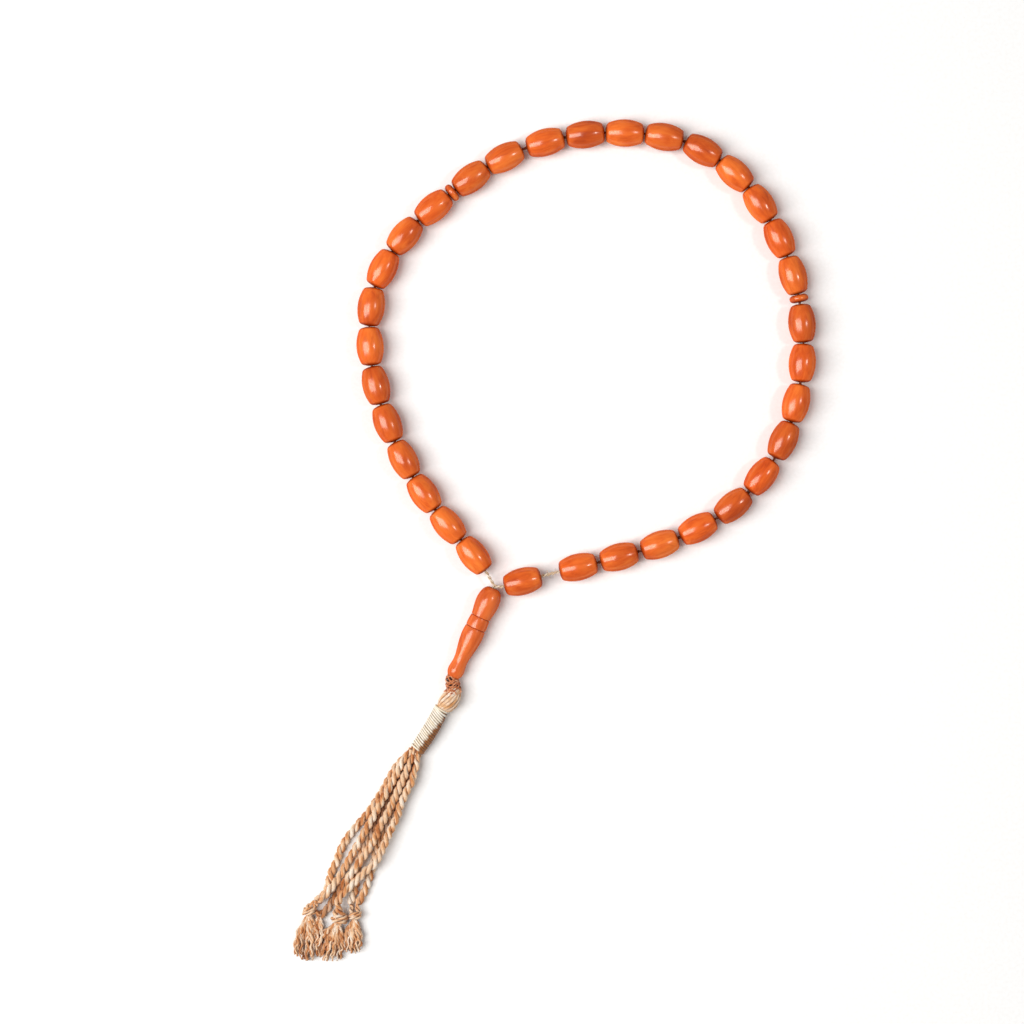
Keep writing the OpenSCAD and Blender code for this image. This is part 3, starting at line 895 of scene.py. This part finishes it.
def bead_outline():
    """Distance along the bore and radius, from one mouth of the bore round to the other and back inside.

    The bulged side and the domed end are arcs, and the corner is an arc that touches both.
    """
    half, bulge = BEAD_LENGTH / 2, BEAD_RADIUS - BEAD_END_RADIUS
    side_radius = (half ** 2 + bulge ** 2) / (2 * bulge)
    side_middle = np.array([0.0, BEAD_RADIUS - side_radius])
    dome_middle = np.array([half - DOME_RADIUS, 0.0])
    from_side, from_dome = side_radius - CORNER, DOME_RADIUS - CORNER
    gap = dome_middle - side_middle
    apart = np.linalg.norm(gap)
    way = gap / apart
    along = (from_side ** 2 - from_dome ** 2 + apart ** 2) / (2 * apart)
    out = math.sqrt(from_side ** 2 - along ** 2)
    corner = side_middle + along * way + out * np.array([way[1], -way[0]])
    side_turn = math.atan2(*(corner - side_middle))
    dome_turn = math.atan2(*(corner - dome_middle))
    mouth_turn = math.pi / 2 - math.asin(MOUTH_RADIUS / DOME_RADIUS)
    right = arc(side_middle, side_radius, 0, side_turn, 14)
    right += arc(corner, CORNER, side_turn, dome_turn, 8)[1:]
    right += arc(dome_middle, DOME_RADIUS, dome_turn, mouth_turn, 8)[1:]
    mouth = right[-1][0]
    right.append((mouth - MOUTH_DEPTH, BORE))
    left = [(-z, r) for z, r in right[::-1]]
    inner = [(z, BORE) for z in np.linspace(mouth - BORE_INSET, BORE_INSET - mouth, 3)]
    return left[:-1] + right + inner


def disc_outline():
    """A thin disc with a half-round rim, from one mouth of the bore round to the other and back inside."""
    half = DISC_THICKNESS / 2
    rim = arc((0, DISC_RADIUS - half), half, -math.pi / 2, math.pi / 2, 17)
    mouth = half - MOUTH_DEPTH
    return [(-half, MOUTH_RADIUS)] + rim + [(half, MOUTH_RADIUS), (mouth, BORE), (-mouth, BORE)]


def way_at(middle, length):
    """The way the string runs through a piece of this length: the chord between its ends."""
    s = distances(STRING_LINE)
    near = np.linalg.norm(STRING_LINE[:, :2] - np.array(middle)[:2], axis=1)
    here = s[int(np.argmin(near))]
    ends = [[np.interp(here + k * length / 2, s, STRING_LINE[:, c]) for c in range(3)] for k in (-1, 1)]
    way = np.subtract(ends[1], ends[0])
    way[2] = 0
    return way


def mouth_shade(outline):
    """Painted shade: a piece is painted darker from its shoulders in to the mouths of its bore, where the
    pieces meet.
    """
    reach = max(z for z, _ in outline)
    return [np.clip((abs(z) - reach + MOUTH_FADE) / MOUTH_FADE, 0, 1) for z, _ in outline]


def strung(node, outline, length, wobble):
    """A polished piece on the string, in the place of its CAD node."""
    low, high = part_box(node)
    middle = (low + high) / 2
    obj = lathe(node + "_polished", outline, mouth_shade(outline), BEAD_RESIN, wobble=wobble)
    stand_along(obj, middle, way_at(middle, length))
    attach(obj, node)
    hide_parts(node)


def beads():
    """All the beads, and then the divider discs."""
    for node in sorted(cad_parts):
        if node.startswith("bead_"):
            strung(node, bead_outline(), BEAD_LENGTH, random.uniform(*BEAD_WOBBLE))
        elif node.startswith("divider_disc_"):
            strung(node, disc_outline(), DISC_THICKNESS, DISC_WOBBLE)


# ---- leader bead ----

# The parts of the leader bead, from its top down: distance and radius in millimetres. A groove is cut
# between each part and the next.
LOBE = [(0, 1.7), (0.4, 2.4), (1.4, 3.2), (3.2, 3.8), (5.4, 3.95), (7.6, 3.7), (9.4, 3.4), (10.3, 3.25)]
RING = [(10.6, 3.25), (11.2, 3.35), (12.4, 3.45), (13.6, 3.45), (14.2, 3.4)]
SHAFT = [
    (14.5, 3.4), (15.6, 3.55), (17.6, 3.6), (20, 3.35), (22.6, 2.9), (24.8, 2.5), (26.6, 2.4),
    (28.2, 2.6), (29.6, 2.75), (30.8, 2.55), (31.7, 2.1), (32, 1.7),
]
GROOVE_DEPTH = 0.3
GROOVE_LIP = 0.04
# How dark the grooves are painted, as painted shade.
GROOVE_SHADE = 0.75
LEADER_BORE = 1.0
LEADER_MOUTH = 1.5
LEADER_MOUTH_DEPTH = 0.8
LEADER_WAY = np.array([
    math.cos(LEADER_HEADING) * math.cos(LEADER_PITCH),
    math.sin(LEADER_HEADING) * math.cos(LEADER_PITCH), math.sin(LEADER_PITCH)])
LEADER_TOP = np.array(JOIN) + JOIN_TO_LEADER * LEADER_WAY
LEADER_FOOT = LEADER_TOP + LEADER_LENGTH * LEADER_WAY
# The two ends of string inside the leader bead: how far they start below the join and stop above the
# foot, each one's radius, its pitch, and how far along it turns one radian round the other.
DOUBLED_START = 0.0004
DOUBLED_STOP = 0.0002
DOUBLED_STEP = 0.0004
DOUBLED_RADIUS = 0.0004
DOUBLED_PITCH = 0.0026
DOUBLED_TURN = 0.0012


def profile(points, n):
    """A smooth outline through points of (distance, radius)."""
    return smooth([(z, r, 0) for z, r in points], n)[:, :2]


def leader_bead():
    """The long turned bead, with its two cut grooves and its bore."""
    # The grooves and the bore are painted dark, as painted shade.
    outline, painted_shade = [], []
    for part in (LOBE, RING, SHAFT):
        if outline:
            groove = outline[-1][1] - GROOVE_DEPTH
            outline += [[outline[-1][0] + GROOVE_LIP, groove], [part[0][0] - GROOVE_LIP, groove]]
            painted_shade += [GROOVE_SHADE] * 2
        outline += profile(part, 5).tolist()
        painted_shade += [0] * (len(outline) - len(painted_shade))
    middle = LEADER_LENGTH / MM / 2
    bore = [(z, LEADER_BORE) for z in (2 * middle, middle, LEADER_MOUTH_DEPTH)] + [(0, LEADER_MOUTH)]
    outline = [(z * MM, r * MM) for z, r in outline + bore]
    painted_shade += [1] * len(bore)
    obj = lathe("leader_bead_polished", outline, painted_shade, LEADER_RESIN, segments=80)
    stand_along(obj, LEADER_TOP, LEADER_WAY)
    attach(obj, "leader")
    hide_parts("leader_bead")


def leader_string():
    """Both ends of the string, side by side down the bore."""
    ends = [JOIN + DOUBLED_START * LEADER_WAY, LEADER_FOOT - DOUBLED_STOP * LEADER_WAY]
    line = resample(np.array(ends), DOUBLED_STEP)
    s = distances(line)
    pile = Pile()
    for j in (0, 1):
        own = offset(line, DOUBLED_RADIUS, math.pi * j + s / DOUBLED_TURN)
        pile.cord(own, DOUBLED_RADIUS, DOUBLED_PITCH, sides=8, lobes=0, depth=0,
                  ply=FIRST_PLY["leader_string"] + 2 * j)
    obj = pile.object("leader_string_doubled", STRING_YARN, "string")
    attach(obj, "leader")
    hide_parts("leader_string")


# ---- neck, head and whipping ----

# The neck's radius in millimetres at shares of its length.
NECK_SHARES = [0, 0.2, 0.45, 0.75, 1]
NECK_RADII = [1.3, 2.0, 2.1, 2.2, 2.6]
# The neck starts inside the leader bead's foot and ends inside the head.
NECK_START = -0.0009
NECK_OUT = 0.0006
NECK_INTO_HEAD = 0.35
NECK_STEP = 0.0002
# Threads that wind each way round the neck, and cross over and under each other.
NECK_THREADS = 6
NECK_THREAD_RADIUS = 0.27 * MM
NECK_PITCH = 0.0062
NECK_PHASE = 0.2
NECK_WAVER = 0.22
NECK_WAVER_LENGTH = 0.0011
NECK_JITTER = 0.15
WEAVE_DEPTH = 0.14 * MM
NECK_CORE = 0.86


def neck_thread(pile, line, sleeve, turn, k):
    """One thread of the neck, which wanders a little as it winds round."""
    s = distances(line)
    angle = turn * FULL_TURN * s / NECK_PITCH + FULL_TURN * k / NECK_THREADS + NECK_PHASE
    angle = angle + NECK_WAVER * np.sin(s / NECK_WAVER_LENGTH + 2.3 * k + turn)
    angle = angle + NECK_JITTER * math.sin(5 * k)
    weave = WEAVE_DEPTH * np.sin(NECK_THREADS * (FULL_TURN * s / NECK_PITCH) + turn * math.pi / 2)
    pile.tube(offset(line, sleeve + weave, angle), NECK_THREAD_RADIUS, sides=10, lobes=2,
              depth=0.18, twist=3200, ply=FIRST_PLY["neck"] + k + 10 * turn)


def neck():
    """Interlaced thread over a core painted near-black as shade in its holes, from the leader bead's foot to
    the head.
    """
    path = smooth([LEADER_FOOT + NECK_START * LEADER_WAY, LEADER_FOOT + NECK_OUT * LEADER_WAY, NECK, HEAD,
                   np.array(HEAD) + NECK_INTO_HEAD * (np.array(WHIP_START) - HEAD)], 12)
    line = resample(path, NECK_STEP)
    s = distances(line)
    sleeve = np.interp(s / s[-1], NECK_SHARES, NECK_RADII) * MM
    pile = Pile()
    for turn in (-1, 1):
        for k in range(NECK_THREADS):
            neck_thread(pile, line, sleeve, turn, k)
    net = pile.object("tassel_neck_interlaced", NECK_YARN, "neck")
    core = Pile()
    core.tube(line, sleeve * NECK_CORE, sides=20, lobes=7, depth=0.06, twist=300,
              ply=FIRST_PLY["neck_core"])
    inner = core.object("tassel_neck_core", SHADE_CORE_YARN, "neck")
    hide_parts("tassel_neck")
    for obj in (net, inner):
        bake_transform(obj)


# The head's outline, from the neck down: distance and radius in millimetres.
HEAD_OUTLINE = [
    (-1, 1.7), (0, 2.2), (1, 2.75), (2.2, 3.1), (3.4, 3.25), (4.6, 3.15), (5.6, 2.9), (6.4, 2.5), (7.4, 2.1),
]
FOLDS = 15
FOLD_RADIUS = 0.72 * MM
FOLD_LEAN = 0.6
FOLD_JITTER = 0.05
HEAD_SWAY = 0.5 * MM
HEAD_CORE_GAP = 1.0 * MM


def head():
    """The folded cords, which swell out below the neck and run down into the whipping."""
    way = unit(np.array(WHIP_START) - HEAD)
    outline = profile(HEAD_OUTLINE, 6) * MM
    z, r = outline[:, 0], outline[:, 1]
    share = (z - z[0]) / (z[-1] - z[0])
    # The cords bulge to one side only.
    sway = HEAD_SWAY * np.sin(math.pi * share)[:, None] * -np.cross(way, UP)
    line = np.array(HEAD) + z[:, None] * way + sway
    pile = Pile()
    for k in range(FOLDS):
        angle = FULL_TURN * k / FOLDS - FOLD_LEAN * share + FOLD_JITTER * math.sin(5 * k)
        pile.tube(offset(line, r - FOLD_RADIUS, angle), FOLD_RADIUS, sides=16, lobes=5, depth=0.08,
                  twist=-600, ply=FIRST_PLY["head"] + 2 * k, core=line, sunk=r - FOLD_RADIUS,
                  reach=FOLD_RADIUS)
    obj = pile.object("tassel_head_folds", HEAD_YARN, "tassel_cord")
    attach(obj, "tassel")
    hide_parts("tassel_head")
    # Under the folds, a core painted near-black as painted shade between them.
    core = Pile()
    core.tube(line, r - HEAD_CORE_GAP, sides=24, ply=FIRST_PLY["head_core"])
    inner = core.object("tassel_head_core", SHADE_CORE_YARN, "tassel_cord")
    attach(inner, "tassel")


WHIPPING_RADIUS = 2.6 * MM
WHIPPING_BULGE = 0.12 * MM
WHIP_BOW = 0.4 * MM
THREAD_RADIUS = 0.4 * MM
TURN_SPACING = 0.76 * MM
TURN_SAMPLES = 48
# The turns lean over, apart from those at the ends, and their radius and spacing are a little uneven.
TURN_LEAN = 0.4
LEAN_FADE = 0.09
UNEVEN_RADIUS = 0.05 * MM
UNEVEN_SPACING = 0.07 * MM
RADIUS_WAVE = 0.37
SPACING_WAVE = 0.171
# Painted shade: the side of the whipping away from the key light is painted brown, more so towards
# the tassel. How much of each turn is left unpainted:
UNSHADED_SHARES = [0, 0.3, 0.5, 1]
UNSHADED_LEVELS = [0.95, 0.5, 0.25, 0.1]
UNSHADED_RAGGED = 0.12
RAGGED_WAVE = 0.31
SHADE_SHARPNESS = 3.5
# The cords inside it: their rings, how far past the end they reach, and their radii in millimetres.
BUNDLE_RINGS = 40
BUNDLE_REACH = 1.07
BUNDLE_STATIONS = [0, 35, 39]
BUNDLE_RADII = [2.0, 2.15, 1.75]
BUNDLE_CORE = 0.72


def whip_axis(share):
    """The middle line of the whipping, from its start to its end, which bows to one side."""
    straight = np.array(WHIP_START) + share[:, None] * (np.array(WHIP_END) - WHIP_START)
    return straight - WHIP_BOW * np.sin(math.pi * share)[:, None] * WHIP_SIDE


def bundle():
    """The cords side by side inside the whipping, which come out at its end as the strands."""
    line = whip_axis(np.linspace(0, BUNDLE_REACH, BUNDLE_RINGS))
    radius = np.interp(np.arange(BUNDLE_RINGS), BUNDLE_STATIONS, BUNDLE_RADII) * MM
    pile = Pile()
    pile.tube(line, radius, sides=42, lobes=6, depth=0.14, twist=250, ply=FIRST_PLY["bundle"], core=line,
              sunk=BUNDLE_CORE * radius, reach=(1 - BUNDLE_CORE) * radius)
    obj = pile.object("tassel_bundle", TASSEL_YARN, "tassel_cord")
    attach(obj, "tassel")


def whipping():
    """One thread wound close, its turns leaning over."""
    length = float(np.linalg.norm(np.array(WHIP_END) - WHIP_START))
    wound = length - 2 * THREAD_RADIUS
    turns = wound / TURN_SPACING
    t = np.linspace(0, 1, int(turns * TURN_SAMPLES))
    angle = FULL_TURN * turns * t
    radius = WHIPPING_RADIUS - THREAD_RADIUS + UNEVEN_RADIUS * np.sin(angle * RADIUS_WAVE)
    radius += WHIPPING_BULGE * np.sin(math.pi * t)
    fade = np.clip(np.minimum(t, 1 - t) / LEAN_FADE, 0, 1)
    along = THREAD_RADIUS + wound * t + fade * TURN_LEAN * radius * np.cos(angle)
    along += UNEVEN_SPACING * np.sin(angle * SPACING_WAVE + 1)
    axis = whip_axis(along / length)
    line = axis + (radius * np.cos(angle))[:, None] * -WHIP_SIDE + (radius * np.sin(angle))[:, None] * WHIP_UP
    # Painted shade on the side away from the key light, with a ragged edge.
    unshaded = np.interp(t, UNSHADED_SHARES, UNSHADED_LEVELS) + UNSHADED_RAGGED * np.sin(angle * RAGGED_WAVE)
    stain = np.clip((np.cos(angle) - unshaded) * SHADE_SHARPNESS + 0.5, 0, 1)
    pile = Pile()
    pile.tube(line, THREAD_RADIUS, sides=12, lobes=3, depth=0.05, twist=-2500, ply=FIRST_PLY["whipping"],
              core=axis, sunk=radius, reach=THREAD_RADIUS, stain=stain)
    obj = pile.object("tassel_whipping_thread", WHIPPING_YARN, "whipping")
    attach(obj, "tassel")
    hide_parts("tassel_whipping")


# ---- the whole ----

camera()
string()
tassel_cords()
studio()
floor()
beads()
leader_bead()
leader_string()
neck()
head()
bundle()
whipping()
